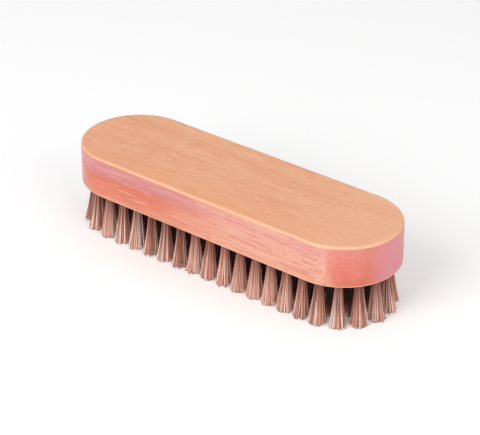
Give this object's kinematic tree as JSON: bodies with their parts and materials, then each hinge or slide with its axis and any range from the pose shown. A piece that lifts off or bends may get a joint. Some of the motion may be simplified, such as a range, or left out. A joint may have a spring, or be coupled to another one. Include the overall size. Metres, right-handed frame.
{
  "type": "clothes brush",
  "caption": "Clothes brush with a flat-topped wooden block, half-round at both ends, drilled from below and filled with tufts of bristle held by wire anchors.",
  "frame": {"origin": "middle of the plane of the trimmed bristle tips", "axes": "+X along the brush, +Y across it, +Z from the bristle tips to the flat top of the block"},
  "size_m": [0.165, 0.051, 0.04],
  "materials": {
    "block_wood": "satin",
    "bristle": "matte",
    "anchor_wire": "satin"
  },
  "bodies": {
    "root": {"inner_back_anchors": "anchor_wire", "inner_back_tufts": "bristle", "inner_front_anchors": "anchor_wire", "inner_front_tufts": "bristle", "middle_back_anchors": "anchor_wire", "middle_back_tufts": "bristle", "middle_front_anchors": "anchor_wire", "middle_front_tufts": "bristle", "middle_left_anchors": "anchor_wire", "middle_left_tufts": "bristle", "middle_right_anchors": "anchor_wire", "middle_right_tufts": "bristle", "rim_back_anchors": "anchor_wire", "rim_front_anchors": "anchor_wire", "rim_left_anchors": "anchor_wire", "rim_right_anchors": "anchor_wire", "rim_tuft_01": "bristle", "rim_tuft_02": "bristle", "rim_tuft_03": "bristle", "rim_tuft_04": "bristle", "rim_tuft_05": "bristle", "rim_tuft_06": "bristle", "rim_tuft_07": "bristle", "rim_tuft_08": "bristle", "rim_tuft_09": "bristle", "rim_tuft_10": "bristle", "rim_tuft_11": "bristle", "rim_tuft_12": "bristle", "rim_tuft_13": "bristle", "rim_tuft_14": "bristle", "rim_tuft_15": "bristle", "rim_tuft_16": "bristle", "rim_tuft_17": "bristle", "rim_tuft_18": "bristle", "rim_tuft_19": "bristle", "rim_tuft_20": "bristle", "rim_tuft_21": "bristle", "rim_tuft_22": "bristle", "rim_tuft_23": "bristle", "rim_tuft_24": "bristle", "rim_tuft_25": "bristle", "rim_tuft_26": "bristle", "rim_tuft_27": "bristle", "rim_tuft_28": "bristle", "rim_tuft_29": "bristle", "rim_tuft_30": "bristle", "rim_tuft_31": "bristle", "rim_tuft_32": "bristle", "rim_tuft_33": "bristle", "rim_tuft_34": "bristle", "rim_tuft_35": "bristle", "rim_tuft_36": "bristle", "rim_tuft_37": "bristle", "rim_tuft_38": "bristle", "rim_tuft_39": "bristle", "rim_tuft_40": "bristle", "rim_tuft_41": "bristle", "rim_tuft_42": "bristle", "wooden_block": "block_wood"}
  },
  "joints": []
}
